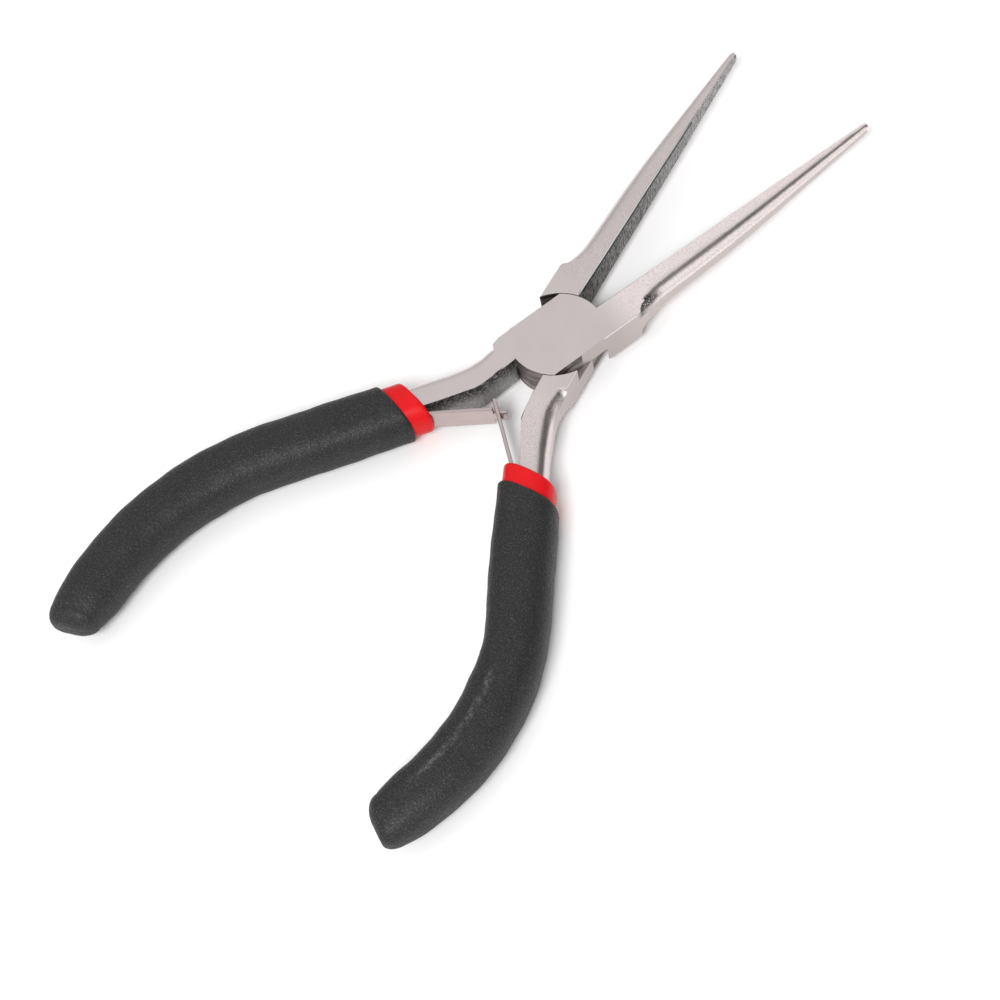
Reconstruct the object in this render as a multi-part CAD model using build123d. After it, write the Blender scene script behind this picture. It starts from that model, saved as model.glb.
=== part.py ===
"""Long-nose jewellery pliers with a lap joint and two interlocked leaf springs.

Each lever is drawn with the jaws closed: pivot on the Z axis, lap plane at Z = 0, jaw towards +Y.
The front lever keeps the upper half of the joint, with its jaw on +X and its handle on -X. Pieces
of the rear lever are drawn the same way and given half a turn about Y. Every piece is then turned
about the pivot into the relaxed, open pose, and lifted so that the joint's back face is at Z = 0.
"""
import os
from math import cos, radians, sin
from typing import NamedTuple

from build123d import *


class Handle(NamedTuple):
    """What differs between the two levers below the pivot.

    The centreline of a handle is a straight stretch, then an arc that brings the grips together.
    Neck and tang stations: centre X, centre Y, heading, width, thickness, radius of the outer edges.
    """
    flank: float        # pivot to the straight flank on the handle's side
    scoop: tuple        # ball-shaped run-out where the rounded tang leaves the neck: X, Y, radius
    neck: list          # square, next to the joint
    root: list          # rounded, coming out of the neck
    tang: list          # smooth transition to the handle
    start_x: float      # where the handle leaves the tang, at Y = HANDLE_START_Y
    heading: float      # from -Y towards -X, in degrees
    straight: float
    bend_radius: float
    grip_end: float     # distance along the centreline to the end of the grip
    leaf_x: float       # leaf spring's centreline at the mouth of the collar
    inner_face: list    # outline of the tang's two flat inner faces, which meet at a blunt corner


# ---- Driving dimensions, in mm and degrees ----
HALF_OPENING = 12.0         # each lever's angle from the centre plane with the springs relaxed
JOINT_THICKNESS = 6.0       # both halves of the lap joint together
HALF_WIDTH = 5.85           # pivot to each straight flank of the joint
DISC_RADIUS = 7.6           # round ends of each half-thickness joint disc
RECESS_RADIUS = 7.75        # hollow in the other lever that the disc turns in
LAP_CLEARANCE = 0.01        # each half of the joint stands this far off the lap plane
EDGE_BREAK = 0.16           # small bevel on the ground edges

# Jaw stations: distance from pivot, inner face, outer side, thickness, radius of the outer edges.
# The shoulder is square, and the rounded root of the jaw comes out of it.
SHOULDER_STATIONS = [
    (4.0, 0.26, HALF_WIDTH, JOINT_THICKNESS, 0.16),
    (8.6, 0.26, HALF_WIDTH, JOINT_THICKNESS, 0.16),
    (11.8, 0.25, HALF_WIDTH, 5.76, 0.16),
    (14.1, 0.24, 5.19, 5.53, 0.16),
]
ROOT_STATIONS = [
    (9.5, 0.28, 5.50, 5.64, 1.70),
    (14.1, 0.24, 5.20, 5.54, 1.80),
    (16.5, 0.23, 4.82, 5.38, 2.30),
]
JAW_STATIONS = [
    (16.5, 0.23, 4.82, 5.38, 2.30),
    (23.0, 0.20, 4.55, 5.12, 2.45),
    (31.0, 0.17, 4.20, 4.78, 2.28),
    (42.0, 0.12, 3.32, 3.98, 1.88),
    (53.0, 0.06, 2.22, 2.98, 1.38),
    (62.6, 0.02, 1.22, 2.05, 0.90),
]
TIP_STATIONS = [
    (62.6, 0.02, 1.22, 2.05, 0.90),
    (63.1, 0.10, 1.00, 1.60, 0.60),
]
JAW_SCOOP = (6.75, 14.5, 2.5)   # ball-shaped run-out where the rounded jaw leaves the shoulder
TOOTH_PITCH = 0.6           # fine cross teeth on the gripping faces
TOOTH_DEPTH = 0.14
TOOTH_COUNT = 26

HANDLE_START_Y = -20.0
TANG_SIZE = (4.60, 5.80)    # width and thickness of the bar where the handle starts
TANG_RADIUS = 2.10
TANG_END_Y = -23.8          # the bar inside the grip takes over here, just inside the collar
TANG_TAIL = 4.9             # straight end of the tang, to 1 mm inside the collar
HANDLES = {
    "front": Handle(
        flank=5.7, scoop=(-6.4, -11.6, 3.2),
        neck=[
            (-3.30, -4.0, 0.0, 4.90, JOINT_THICKNESS, 0.16),
            (-3.25, -7.2, 0.0, 5.00, JOINT_THICKNESS, 0.16),
            (-2.86, -9.8, 0.0, 4.42, 5.92, 0.16),
        ],
        root=[
            (-3.20, -5.6, 0.0, 4.60, 5.80, 1.40),
            (-2.86, -9.8, 0.0, 4.44, 5.94, 1.50),
            (-2.80, -11.4, 1.0, 4.49, 5.90, 1.80),
        ],
        tang=[
            (-2.80, -11.4, 1.0, 4.49, 5.90, 1.80),
            (-2.88, -14.2, 9.0, 4.99, 5.84, 2.00),
            (-3.70, -17.2, 17.0, 5.06, 5.80, 2.10),
            (-4.81, -20.0, 20.1, 5.00, 5.80, TANG_RADIUS),
        ],
        start_x=-4.50, heading=20.1, straight=27.4, bend_radius=45.3, grip_end=70.0, leaf_x=-2.65,
        inner_face=[(-0.66, -9.8), (-0.50, -14.8), (-4.03, -24.9)],
    ),
    "rear": Handle(
        flank=6.1, scoop=(-7.2, -11.2, 3.1),
        neck=[
            (-3.85, -4.0, 0.0, 4.60, JOINT_THICKNESS, 0.16),
            (-3.85, -7.2, 0.0, 4.70, JOINT_THICKNESS, 0.16),
            (-3.95, -9.8, 0.0, 4.65, 5.92, 0.16),
        ],
        root=[
            (-3.85, -5.6, 0.0, 4.40, 5.80, 1.40),
            (-3.95, -9.8, 0.0, 4.67, 5.94, 1.50),
            (-4.00, -11.4, 3.0, 4.65, 5.90, 1.80),
        ],
        tang=[
            (-4.00, -11.4, 3.0, 4.65, 5.90, 1.80),
            (-4.42, -14.2, 12.0, 4.84, 5.84, 2.00),
            (-5.38, -17.2, 21.0, 5.00, 5.80, 2.10),
            (-6.75, -20.0, 25.0, 4.44, 5.80, TANG_RADIUS),
        ],
        start_x=-6.15, heading=24.2, straight=28.8, bend_radius=36.4, grip_end=66.5, leaf_x=-4.85,
        inner_face=[(-1.64, -9.8), (-2.16, -15.5), (-7.12, -24.9)],
    ),
}

CORE_RADIUS = 1.9           # corner radius of the steel bar inside the grip
CORE_TO_GRIP_END = 9.0

# Two-layer grip: a red inner sleeve that shows as a collar, and a black outer grip
COLLAR_MOUTH_Y = -23.5
GRIP_MOUTH_Y = -26.8
LAYER_GAP = 0.03            # gap between the bar, the sleeve and the grip
SLEEVE_TO_GRIP_END = 5.5
# Stations: distance along the centreline from the handle's start, width, thickness
SLEEVE_STATIONS = [(-4.0, 8.2, 7.9), (6.0, 8.3, 8.0), (20.0, 8.2, 7.6), (45.0, 7.9, 7.2)]
SLEEVE_END_SIZE = (7.0, 6.2)
GRIP_STATIONS = [(-1.0, 9.0, 8.7), (9.0, 9.6, 8.9), (27.0, 9.8, 9.2), (46.0, 9.5, 9.0)]
# Stations back from the end of the grip: distance, width, thickness, shift to the outer side
GRIP_END_STATIONS = [(8.0, 9.1, 8.5, 0.0), (4.4, 8.6, 7.7, 0.2), (1.6, 7.4, 6.2, 0.6), (0.0, 5.0, 3.8, 1.1)]
SOFT_CORNER = 0.86          # corner radius of the soft sections as a share of half the thickness

# Pivot rivet: flush countersunk head at the back, pressed into a blind hole in the front lever
RIVET_RADIUS = 2.0
RIVET_HEAD_RADIUS = 3.2
RIVET_HEAD_DEPTH = 1.2
RIVET_BLIND_DEPTH = 2.1     # depth of the hole above the lap plane
PRESS_CLEARANCE = 0.01
RUNNING_CLEARANCE = 0.03

# Leaf springs: each is riveted to its tang under the grip and crosses the other between the tangs
LEAF_THICKNESS = 0.6
LEAF_WIDTH = 4.0
LEAF_CROSSING = (0.8, -15.5)    # X and Y of the crossing in the relaxed pose
LEAF_BEND_RADIUS = 7.0
LEAF_PAD = 6.5              # strip that lies flat on the tang
LEAF_SHOULDER_GAP = 0.3     # front strip's shoulders to the face of the rear strip
TONGUE_WIDTH = 1.7
TONGUE_LENGTH = 1.55
SLOT_WIDTH = 2.1
SLOT_BEFORE = 1.1           # slot's length before and after the crossing
SLOT_AFTER = 1.45
LEAF_BEYOND_CROSSING = 1.95  # rear strip's end beyond the crossing
LEAF_RIVET_RADIUS = 0.8
LEAF_RIVET_HEAD_RADIUS = 1.4
LEAF_RIVET_HEAD_HEIGHT = 0.5
LEAF_RIVET_DEPTH = 3.0      # shank in the tang
LEAF_RIVET_SETBACK = 2.4    # rivet's distance from the strip's clamped end
POCKET_CLEARANCE = 0.12     # room for the strip and its rivet inside the sleeve

HALF = JOINT_THICKNESS / 2
BIG = 200.0


def bar_section(plane, inner, outer, thickness, outer_radius):
    """Section of a lever: flat inner side with bevelled edges, rounded outer side."""
    side = 1 if outer > inner else -1
    h = thickness / 2
    shoulder = outer - side * outer_radius
    inset = outer_radius * (1 - cos(radians(45)))
    lower_mid = (outer - side * inset, inset - h)
    upper_mid = (outer - side * inset, h - inset)
    bevel_start = inner + side * EDGE_BREAK
    edges = [
        Line((bevel_start, -h), (shoulder, -h)),
        ThreePointArc((shoulder, -h), lower_mid, (outer, outer_radius - h)),
        Line((outer, outer_radius - h), (outer, h - outer_radius)),
        ThreePointArc((outer, h - outer_radius), upper_mid, (shoulder, h)),
        Line((shoulder, h), (bevel_start, h)),
        Line((bevel_start, h), (inner, h - EDGE_BREAK)),
        Line((inner, h - EDGE_BREAK), (inner, EDGE_BREAK - h)),
        Line((inner, EDGE_BREAK - h), (bevel_start, -h)),
    ]
    return plane * make_face(Curve() + edges)


def cross_plane(x, y, heading):
    """Upright plane across a lever; its X runs towards +X, and it faces along the handle."""
    angle = radians(heading)
    return Plane(origin=(x, y, 0), x_dir=(cos(angle), -sin(angle), 0), z_dir=(-sin(angle), -cos(angle), 0))


def jaw_section(station):
    """Section of the jaw at one station."""
    distance, inner, outer, thickness, radius = station
    return bar_section(cross_plane(0, distance, 0), inner, outer, thickness, radius)


def tang_section(station):
    """Section of the tang at one station."""
    x, y, heading, width, thickness, radius = station
    return bar_section(cross_plane(x, y, heading), width / 2, -width / 2, thickness, radius)


def inner_face_at(distance):
    """X of the jaw's inner face at a distance from the pivot."""
    for near, far in zip(JAW_STATIONS, JAW_STATIONS[1:]):
        if near[0] <= distance <= far[0]:
            share = (distance - near[0]) / (far[0] - near[0])
            return near[1] + share * (far[1] - near[1])
    return JAW_STATIONS[-1][1]


def scooped(block, x, y, radius):
    """Square block with both outer corners of its far end cut away by a ball."""
    for side in (-1, 1):
        block -= Pos(x, y, side * HALF) * Sphere(radius)
    return block


def teeth():
    """Triangular grooves across the gripping face, from the tip back."""
    tip = JAW_STATIONS[-1][0]
    cutters = []
    for index in range(TOOTH_COUNT):
        distance = tip - TOOTH_PITCH * (index + 1)
        face = inner_face_at(distance)
        outline = Polygon(
            (face - TOOTH_PITCH, distance - TOOTH_PITCH / 2),
            (face, distance - TOOTH_PITCH / 2),
            (face + TOOTH_DEPTH, distance),
            (face, distance + TOOTH_PITCH / 2),
            (face - TOOTH_PITCH, distance + TOOTH_PITCH / 2),
            align=None,
        )
        cutters.append(extrude(outline, amount=HALF, both=True))
    return cutters


def heading_vector(handle):
    """Direction of the handle's straight stretch, away from the joint."""
    angle = radians(handle.heading)
    return Vector(-sin(angle), -cos(angle), 0)


def inward_vector(handle):
    """Direction across the handle's straight stretch, towards the other handle."""
    return Vector(0, 0, 1).cross(heading_vector(handle))


def handle_line(handle, length):
    """Centreline of the handle, cut off at a length."""
    along = heading_vector(handle)
    start = Vector(handle.start_x, HANDLE_START_Y, 0)
    straight = Line(start, start + along * handle.straight)
    turn = (length - handle.straight) / radians(1) / handle.bend_radius
    bend = JernArc(straight @ 1, along, handle.bend_radius, turn)
    return Wire([straight, bend])


def handle_plane(handle, distance):
    """Plane across the handle at a distance along its centreline; negative runs up the tang."""
    if distance <= handle.straight:
        along = heading_vector(handle)
        origin = Vector(handle.start_x, HANDLE_START_Y, 0) + along * distance
    else:
        line = handle_line(handle, distance)
        origin = line @ 1
        along = line % 1
    return Plane(origin=origin, x_dir=Vector(0, 0, 1).cross(along), z_dir=along)


def soft_section(handle, distance, width, thickness, growth=0.0, shift=0.0):
    """Rounded section of the sleeve or grip, grown all round and shifted to the outer side."""
    thickness += 2 * growth
    outline = RectangleRounded(width + 2 * growth, thickness, SOFT_CORNER * thickness / 2)
    return handle_plane(handle, distance) * Pos(-shift, 0, 0) * outline


def below(y):
    """Everything lower than y, towards the handle ends."""
    return Pos(0, y - BIG / 2, 0) * Box(BIG, BIG, BIG)


def core(handle, growth=0.0):
    """Steel bar inside the grip, made larger all round by growth."""
    width, thickness = TANG_SIZE
    outline = RectangleRounded(width + 2 * growth, thickness + 2 * growth, CORE_RADIUS + growth)
    length = handle.grip_end - CORE_TO_GRIP_END + growth
    bar = sweep(handle_plane(handle, 0) * outline, path=handle_line(handle, length))
    return bar & below(TANG_END_Y + growth)


def tang(handle):
    """Visible neck between the joint and the grip, with two flat inner faces."""
    neck = scooped(loft([tang_section(s) for s in handle.neck], ruled=True), *handle.scoop)
    root = loft([tang_section(s) for s in handle.root], ruled=True)
    bend = loft([tang_section(s) for s in handle.tang])
    end = tang_section(handle.tang[-1])
    tail = extrude(end, amount=TANG_TAIL, dir=cross_plane(*handle.tang[-1][:3]).z_dir)
    (near_x, near_y), _, (far_x, far_y) = handle.inner_face
    outline = [*handle.inner_face, (far_x + JOINT_THICKNESS, far_y), (near_x + JOINT_THICKNESS, near_y)]
    shaving = extrude(Polygon(*outline, align=None), amount=JOINT_THICKNESS, both=True)
    return neck + (root + bend + tail - shaving)


def lever(handle):
    """One forging, jaws closed, keeping the upper half of the joint."""
    shoulder = scooped(loft([jaw_section(s) for s in SHOULDER_STATIONS], ruled=True), *JAW_SCOOP)
    root = loft([jaw_section(s) for s in ROOT_STATIONS], ruled=True)
    jaw = loft([jaw_section(s) for s in JAW_STATIONS])
    tip = loft([jaw_section(s) for s in TIP_STATIONS], ruled=True)
    disc = Pos(0, 0, HALF / 2) * Cylinder(DISC_RADIUS, HALF)
    disc = disc & Pos((HALF_WIDTH - handle.flank) / 2, 0, 0) * Box(HALF_WIDTH + handle.flank, BIG, BIG)
    recess = Pos(0, 0, LAP_CLEARANCE - HALF) * Cylinder(RECESS_RADIUS, JOINT_THICKNESS)
    body = shoulder + root + jaw + tip + tang(handle) + core(handle) + disc
    return body - recess - teeth() - leaf_rivet_hole(handle)


def sleeve_solid(handle, growth=0.0):
    """Outer shape of the red sleeve before it is hollowed."""
    end = handle.grip_end - SLEEVE_TO_GRIP_END + growth
    stations = SLEEVE_STATIONS + [(end, *SLEEVE_END_SIZE)]
    return loft([soft_section(handle, *s, growth) for s in stations])


def inner_sleeve(handle):
    """Red sleeve: hollow for the bar, with a pocket for the leaf spring and its rivet."""
    throat = tang(handle) & below(COLLAR_MOUTH_Y + HALF)
    sleeve = sleeve_solid(handle) & below(COLLAR_MOUTH_Y)
    return sleeve - core(handle, LAYER_GAP) - throat - leaf_pocket(handle)


def outer_grip(handle):
    """Black grip over the sleeve."""
    ends = [
        soft_section(handle, handle.grip_end - back, width, thickness, shift=shift)
        for back, width, thickness, shift in GRIP_END_STATIONS
    ]
    barrel = loft([soft_section(handle, *s) for s in GRIP_STATIONS] + ends[:1])
    grip = (barrel + loft(ends)) & below(GRIP_MOUTH_Y)
    return grip - sleeve_solid(handle, LAYER_GAP)


def crossing(handle):
    """Point where the two strips' centrelines cross in the relaxed pose, in the lever's frame."""
    side = 1 if handle is HANDLES["front"] else -1
    return Vector(side * LEAF_CROSSING[0], LEAF_CROSSING[1], 0).rotate(Axis.Z, HALF_OPENING)


def leaf_corners(handle):
    """Clamped end, bend and mouth of the strip's centreline, and the direction of its free part."""
    along = heading_vector(handle)
    inward = inward_vector(handle)
    offset = TANG_SIZE[0] / 2 + LEAF_THICKNESS / 2
    pad_origin = Vector(handle.start_x, HANDLE_START_Y, 0) + inward * offset
    mouth = Vector(handle.leaf_x, COLLAR_MOUTH_Y, 0)
    free = (crossing(handle) - mouth).normalized()
    back = (pad_origin - mouth).dot(inward) / free.dot(inward)
    corner = mouth + free * back
    return corner + along * LEAF_PAD, corner, mouth, free


def leaf_strip(handle, end, thickness=LEAF_THICKNESS, width=LEAF_WIDTH):
    """Bent strip from the clamped end to a given end point."""
    root, corner, _, free = leaf_corners(handle)
    path = FilletPolyline(root, corner, end, radius=LEAF_BEND_RADIUS)
    start = Plane(origin=root, x_dir=(0, 0, 1), z_dir=(corner - root).normalized())
    return sweep(start * Rectangle(width, thickness), path=path)


def strip_block(handle, near, far, width):
    """Block along the free strip, from near to far measured from the crossing."""
    _, _, _, free = leaf_corners(handle)
    middle = crossing(handle) + free * ((near + far) / 2)
    place = Plane(origin=middle, x_dir=(0, 0, 1), z_dir=free)
    return place * Box(width, HALF, far - near)


def front_leaf(handle):
    """Strip with a tongue that passes through the rear strip."""
    _, _, _, free = leaf_corners(handle)
    strip = leaf_strip(handle, crossing(handle) + free * TONGUE_LENGTH)
    shoulder = -(LEAF_THICKNESS / 2 + LEAF_SHOULDER_GAP)
    tongue = strip & strip_block(handle, shoulder, TONGUE_LENGTH, TONGUE_WIDTH)
    strip = strip - strip_block(handle, shoulder, TONGUE_LENGTH + 1, LEAF_WIDTH + 1)
    return strip + tongue - leaf_rivet_shank(handle, PRESS_CLEARANCE)


def rear_leaf(handle):
    """Strip with a slot for the front strip's tongue."""
    _, _, _, free = leaf_corners(handle)
    strip = leaf_strip(handle, crossing(handle) + free * LEAF_BEYOND_CROSSING)
    slot = strip_block(handle, -SLOT_BEFORE, SLOT_AFTER, SLOT_WIDTH)
    return strip - slot - leaf_rivet_shank(handle, PRESS_CLEARANCE)


def leaf_rivet_plane(handle):
    """Plane on the tang's inner face at the leaf spring's rivet, facing away from the tang."""
    root, corner, _, _ = leaf_corners(handle)
    inward = inward_vector(handle)
    origin = root + (corner - root).normalized() * LEAF_RIVET_SETBACK - inward * (LEAF_THICKNESS / 2)
    return Plane(origin=origin, x_dir=(0, 0, 1), z_dir=inward)


def leaf_rivet_shank(handle, clearance=0.0):
    """Shank of the leaf spring's rivet, through the strip and into the tang."""
    length = LEAF_RIVET_DEPTH + LEAF_THICKNESS
    middle = (LEAF_THICKNESS - LEAF_RIVET_DEPTH) / 2
    return leaf_rivet_plane(handle) * Pos(0, 0, middle) * Cylinder(LEAF_RIVET_RADIUS + clearance, length)


def leaf_rivet_hole(handle):
    """Hole in the tang for the leaf spring's rivet."""
    return leaf_rivet_shank(handle, PRESS_CLEARANCE)


def leaf_rivet_head(handle, clearance=0.0):
    """Head of the leaf spring's rivet, on the strip."""
    height = LEAF_RIVET_HEAD_HEIGHT + clearance
    base = leaf_rivet_plane(handle) * Pos(0, 0, LEAF_THICKNESS + height / 2)
    return base * Cylinder(LEAF_RIVET_HEAD_RADIUS + clearance, height)


def leaf_rivet(handle):
    """Rivet that holds a leaf spring to its tang."""
    return leaf_rivet_shank(handle) + leaf_rivet_head(handle)


def leaf_pocket(handle):
    """Room inside the sleeve for the strip, from its clamped end to the collar's mouth."""
    root, corner, mouth, free = leaf_corners(handle)
    inward = inward_vector(handle)
    beside = inward * (LEAF_THICKNESS / 2 + POCKET_CLEARANCE)
    tang_side = inward * -LEAF_THICKNESS
    up = (corner - root).normalized()
    base = root - up * POCKET_CLEARANCE
    exit_point = mouth + free * HALF
    outline = Polygon(
        *[(p.X, p.Y) for p in (base + tang_side, base + beside, corner + beside, exit_point + beside,
                               corner + up * BIG / 20 + tang_side)],
        align=None,
    )
    slot = extrude(outline, amount=LEAF_WIDTH / 2 + POCKET_CLEARANCE, both=True)
    return slot + leaf_rivet_head(handle, POCKET_CLEARANCE)


def pivot_rivet():
    """Stepped rivet: countersunk head in the rear lever, shank pressed into the front lever."""
    shank = extrude(Circle(RIVET_RADIUS), amount=HALF + RIVET_BLIND_DEPTH)
    taper = Pos(0, 0, RIVET_HEAD_DEPTH / 2) * Cone(RIVET_HEAD_RADIUS, RIVET_RADIUS, RIVET_HEAD_DEPTH)
    return Pos(0, 0, -HALF) * (shank + taper)


def front_pivot_hole():
    """Blind hole in the front lever."""
    depth = RIVET_BLIND_DEPTH + PRESS_CLEARANCE
    return extrude(Circle(RIVET_RADIUS + PRESS_CLEARANCE), amount=depth)


def rear_pivot_hole():
    """Countersunk through hole in the rear lever."""
    play = RUNNING_CLEARANCE
    hole = extrude(Circle(RIVET_RADIUS + play), amount=JOINT_THICKNESS, both=True)
    depth = RIVET_HEAD_DEPTH + play
    sink = Cone(RIVET_HEAD_RADIUS + 2 * play, RIVET_RADIUS + play, depth)
    return hole + Pos(0, 0, depth / 2 - HALF) * sink


def place_front(shape):
    """Turn a piece of the front lever into the relaxed pose, with the joint's back face at Z = 0."""
    return Pos(0, 0, HALF) * Rot(0, 0, -HALF_OPENING) * shape


def place_rear(shape):
    """The same for a piece of the rear lever, after half a turn about Y."""
    return Pos(0, 0, HALF) * Rot(0, 0, HALF_OPENING) * Rot(0, 180, 0) * shape


front = HANDLES["front"]
rear = HANDLES["rear"]
pieces = {
    "front_lever": place_front(lever(front) - front_pivot_hole()),
    "rear_lever": place_rear(lever(rear)) - Pos(0, 0, HALF) * rear_pivot_hole(),
    "pivot_rivet": Pos(0, 0, HALF) * pivot_rivet(),
    "front_leaf_spring": place_front(front_leaf(front)),
    "rear_leaf_spring": place_rear(rear_leaf(rear)),
    "front_spring_rivet": place_front(leaf_rivet(front)),
    "rear_spring_rivet": place_rear(leaf_rivet(rear)),
    "front_inner_sleeve": place_front(inner_sleeve(front)),
    "rear_inner_sleeve": place_rear(inner_sleeve(rear)),
    "front_outer_grip": place_front(outer_grip(front)),
    "rear_outer_grip": place_rear(outer_grip(rear)),
}
os.makedirs("parts", exist_ok=True)
for name, piece in pieces.items():
    export_step(piece, f"parts/{name}.step")
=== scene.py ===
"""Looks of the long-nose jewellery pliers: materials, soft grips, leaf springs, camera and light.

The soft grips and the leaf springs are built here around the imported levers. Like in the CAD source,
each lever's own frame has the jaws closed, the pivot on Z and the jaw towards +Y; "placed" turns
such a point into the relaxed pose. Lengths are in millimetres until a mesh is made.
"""
from math import cos, exp, hypot, pi, radians, sin, tan

import bmesh
import bpy
from mathutils import Matrix, Vector


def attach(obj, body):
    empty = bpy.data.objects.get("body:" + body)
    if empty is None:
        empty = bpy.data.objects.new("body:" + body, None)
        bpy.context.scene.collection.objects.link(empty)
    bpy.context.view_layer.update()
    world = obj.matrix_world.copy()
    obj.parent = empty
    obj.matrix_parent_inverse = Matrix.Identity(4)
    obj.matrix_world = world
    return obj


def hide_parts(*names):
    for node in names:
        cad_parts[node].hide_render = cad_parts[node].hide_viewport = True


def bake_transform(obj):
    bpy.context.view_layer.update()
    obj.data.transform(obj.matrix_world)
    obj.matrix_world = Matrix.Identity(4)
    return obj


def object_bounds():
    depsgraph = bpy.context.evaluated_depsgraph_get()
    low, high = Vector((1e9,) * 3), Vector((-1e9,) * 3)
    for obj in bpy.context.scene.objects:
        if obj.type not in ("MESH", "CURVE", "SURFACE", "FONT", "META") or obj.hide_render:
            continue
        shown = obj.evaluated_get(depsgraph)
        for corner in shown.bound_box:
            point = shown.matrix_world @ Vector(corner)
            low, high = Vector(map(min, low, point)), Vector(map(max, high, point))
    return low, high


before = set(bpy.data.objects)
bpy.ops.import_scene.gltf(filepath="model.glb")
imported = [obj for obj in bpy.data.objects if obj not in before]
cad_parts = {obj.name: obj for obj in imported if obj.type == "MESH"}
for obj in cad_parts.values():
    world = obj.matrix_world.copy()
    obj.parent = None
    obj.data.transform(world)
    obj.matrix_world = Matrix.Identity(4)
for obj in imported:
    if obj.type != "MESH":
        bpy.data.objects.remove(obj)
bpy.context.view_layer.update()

MM = 0.001
UP = Vector((0, 0, 1))

# ---- Camera, from the pivot: directions in degrees, lengths in mm ----
VIEW_AZIMUTH = 55.39
VIEW_ELEVATION = 58.64
VIEW_ROLL = 16.54
VIEW_DISTANCE = 344.85
VIEW_SHIFT = (9.244, 24.359)    # how far the pivot lies right of and above the frame's centre
LENS = 79.28
SENSOR_WIDTH = 36
CLIP = (0.01, 20)       # metres

# ---- The levers' shape that the soft parts follow, as in the CAD model ----
HALF_OPENING = 12.0
MID_HEIGHT = 3.0
HANDLE_START_Y = -20.0
COLLAR_MOUTH_Y = -23.5
GRIP_MOUTH_Y = -26.8
BAR_WIDTH = 4.6
TANG_THICKNESS = 5.8
# Where the handle starts and its heading in degrees, length of its straight part, radius of its bend,
# distance at its end, X of the leaf spring at the collar's mouth, and the tang's outer and inner side
HANDLES = {
    "front": dict(
        start=-4.50, heading=20.1, straight=27.4, radius=45.3, end=70.0, leaf=-2.65, tang=(-2.79, 2.10)
    ),
    "rear": dict(
        start=-6.15, heading=24.2, straight=28.8, radius=36.4, end=66.5, leaf=-4.85, tang=(-2.84, 1.22)
    ),
}

# ---- Soft grips ----
ROUND_COUNT = 160       # points round a ring
ROUND = [2 * pi * i / ROUND_COUNT for i in range(ROUND_COUNT)]
OUTLINE_POWER = 2.55    # 2 would be an ellipse, more is squarer
OPENING_POWER = 7.0
# Distance along the handle, width and thickness
COLLAR_STATIONS = [(-4.0, 8.2, 7.9), (6.0, 8.3, 8.0), (20.0, 8.2, 7.6)]
SLEEVE_END = (7.0, 6.2)
GRIP_STATIONS = [(-1.0, 9.0, 8.7), (9.0, 9.6, 8.9), (27.0, 9.8, 9.06), (46.0, 9.5, 9.0)]
# Back from the grip's end: distance, width, thickness, shift to the outer side
GRIP_END_STATIONS = [(8.0, 9.1, 8.5, 0.0), (4.4, 8.6, 7.7, 0.2), (1.6, 7.4, 6.2, 0.6), (0.0, 5.0, 3.8, 1.1)]
END_ROUND = 2.6         # radius of the grip's rounded end
SLEEVE_END_BACK = 5.5
COLLAR_LIP = 0.6        # radius of the collar's rounded mouth
GRIP_LIP = 0.34
LAYER_GAP = 0.03
OPENING_GAP = 0.04      # round the tang
SLOT_GAP = (0.08, 0.12)     # beside the leaf spring's face and edge
# How far the grip is pinched on the inner side, just beyond where its bend starts
PINCH = {"front": 0.15, "rear": 0.45}
PINCH_BEYOND = 2.0
PINCH_REACH = 9.0
# Unevenness of the dipped grip: share of its size, radians per mm along it, waves round it
WAVES = [(0.007, 0.55, 2), (0.005, 1.3, -1)]
# Soft ridge along the side that faces up: direction in degrees, first and last distance, height
RIDGE = {"front": (72, 14.0, 60.0, 0.10), "rear": (-78, 34.0, 62.0, 0.17)}
RIDGE_SPREAD = 0.20     # radians
# Rings inside the mouths, as distances back from them, and rings along the pieces
GRIP_HOLLOW = (14.0, 6.0, 2.0, 0.5, 0.0)
OPENING_DEPTHS = (3.0, 1.2, 0.25, 0.02)
GRIP_ROWS = 110
SLEEVE_ROWS = 60
END_ROWS = 14
GRIP_LIP_STEPS = 5
COLLAR_LIP_STEPS = 7
MOUTH_SEARCH = (-6.0, 20.0)     # the mouth lies between these distances along the handle
MOUTH_HALVINGS = 24

# ---- Leaf springs ----
LEAF_THICKNESS = 0.6
LEAF_WIDTH = 4.0
LEAF_CROSSING = (0.8, -15.5)    # X and Y in the relaxed pose where the two strips cross
LEAF_BEND_RADIUS = 7.0
LEAF_PAD = 6.5              # from the clamped end to the bend's corner
TONGUE_WIDTH = 1.7
TONGUE_LENGTH = 1.55        # beyond the crossing
SHOULDER_BACK = 0.6         # before the crossing
SLOT_WIDTH = 2.1
SLOT_SPAN = (-1.1, 1.45)    # from the crossing
REAR_LEAF_BEYOND = 1.95
LEAF_EDGE_BREAK = 0.13
LEAF_STEP = 0.35            # between rows, and near the crossing
CROSSING_STEP = 0.25
LEAF_SHARP = 30             # degrees from which an edge stays sharp
HINGE_BACK = 1.4            # a point this far behind the collar's mouth, along the strip's free part
BEND_SPAN = (-1.5, 9.0)     # two distances from that point; the second gives an end point that nothing uses
TONGUE_CURL = (0.9, 0.16)   # where the tongue starts to turn up, and how fast


# ======== Geometry helpers ========
def placed(side, x, y, z):
    """A point of a lever's closed frame, in metres in the relaxed pose."""
    sign = 1 if side == "front" else -1
    angle = radians(HALF_OPENING)
    turned_x = x * cos(angle) + y * sin(angle)
    turned_y = y * cos(angle) - x * sin(angle)
    return Vector((sign * turned_x, turned_y, MID_HEIGHT + sign * z)) * MM


def new_object(name, mesh):
    """Object in the scene for a mesh."""
    made = bpy.data.objects.new(name, mesh)
    bpy.context.scene.collection.objects.link(made)
    return made


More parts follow.
